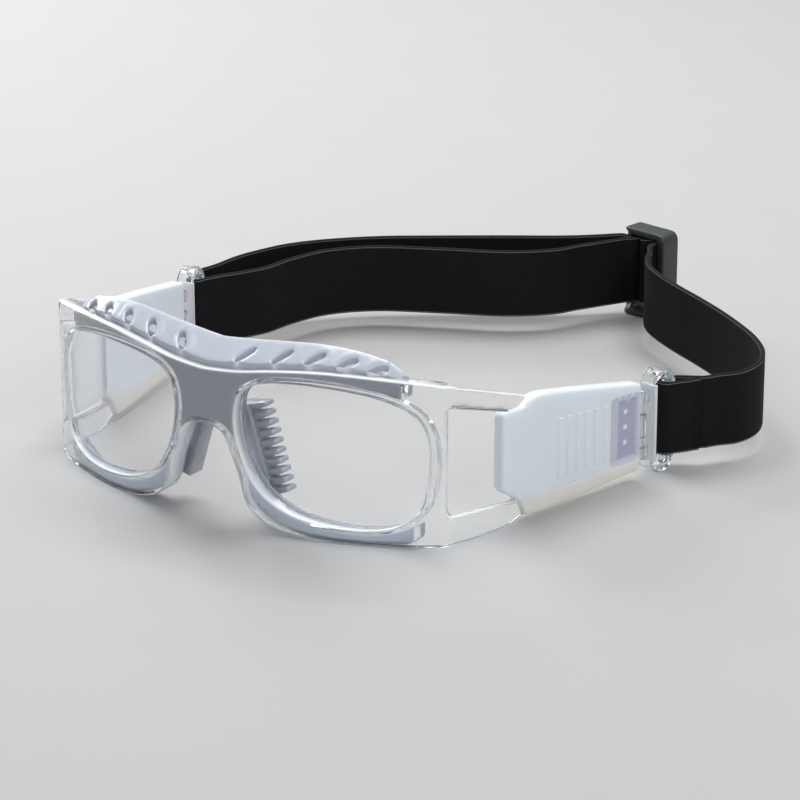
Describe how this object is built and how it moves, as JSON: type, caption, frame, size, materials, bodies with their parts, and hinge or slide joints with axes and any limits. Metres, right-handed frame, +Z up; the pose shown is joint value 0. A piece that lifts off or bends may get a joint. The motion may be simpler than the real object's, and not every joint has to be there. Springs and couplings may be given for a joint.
{
  "type": "sports protective goggles",
  "caption": "Wraparound sports goggles: clear frame with windowed arms, curved clear lenses, soft vented brow liner, and an elastic head strap on swivelling hooks with a slider.",
  "frame": {"origin": "crown of the nose arch on the plane of symmetry, where the bridge meets the nose", "axes": "+Y from the lenses back along the arms to the slider, +X across the face, +Z up when the goggles are worn"},
  "size_m": [0.2139, 0.2586, 0.0613],
  "materials": {
    "clear_frame": "clear polished polycarbonate",
    "lens": "clear polycarbonate lens, polished both sides",
    "grey_liner": "soft translucent blue-grey rubber, satin",
    "nose_pad": "soft translucent grey rubber, satin",
    "milky_sleeve": "milky silicone, satin",
    "clear_hook": "clear polished plastic",
    "steel_pin": "drawn steel",
    "webbing": "black woven elastic with a grey selvage thread",
    "dark_slider": "dark moulded plastic, fine satin"
  },
  "bodies": {
    "root": {"frame": "clear_frame", "lens_right": "lens", "lens_left": "lens", "brow_liner": "grey_liner", "nose_pad_right": "nose_pad", "nose_pad_left": "nose_pad", "sleeve_right": "milky_sleeve", "sleeve_left": "milky_sleeve", "strap_right": "webbing", "strap_outer": "webbing", "strap_inner": "webbing"},
    "right_hook": {"hook_right": "clear_hook", "hook_pin_right": "steel_pin", "strap_loop_right": "webbing"},
    "left_hook": {"hook_left": "clear_hook", "hook_pin_left": "steel_pin", "strap_loop_left": "webbing"},
    "strap_slider": {"slider": "dark_slider", "strap_threading": "webbing"}
  },
  "joints": [
    {"name": "right_hook_swivel", "type": "hinge", "parent": "root", "child": "right_hook", "pos_m": [0.09251, 0.10297, -0.0155], "axis": [0, 0, 1], "range_deg": [-35, 35]},
    {"name": "left_hook_swivel", "type": "hinge", "parent": "root", "child": "left_hook", "pos_m": [-0.09251, 0.10297, -0.0155], "axis": [0, 0, 1], "range_deg": [-35, 35]},
    {"name": "slider_travel", "type": "slide", "parent": "root", "child": "strap_slider", "axis": [0.9848, -0.1736, 0], "range_m": [-0.006, 0.006]}
  ]
}
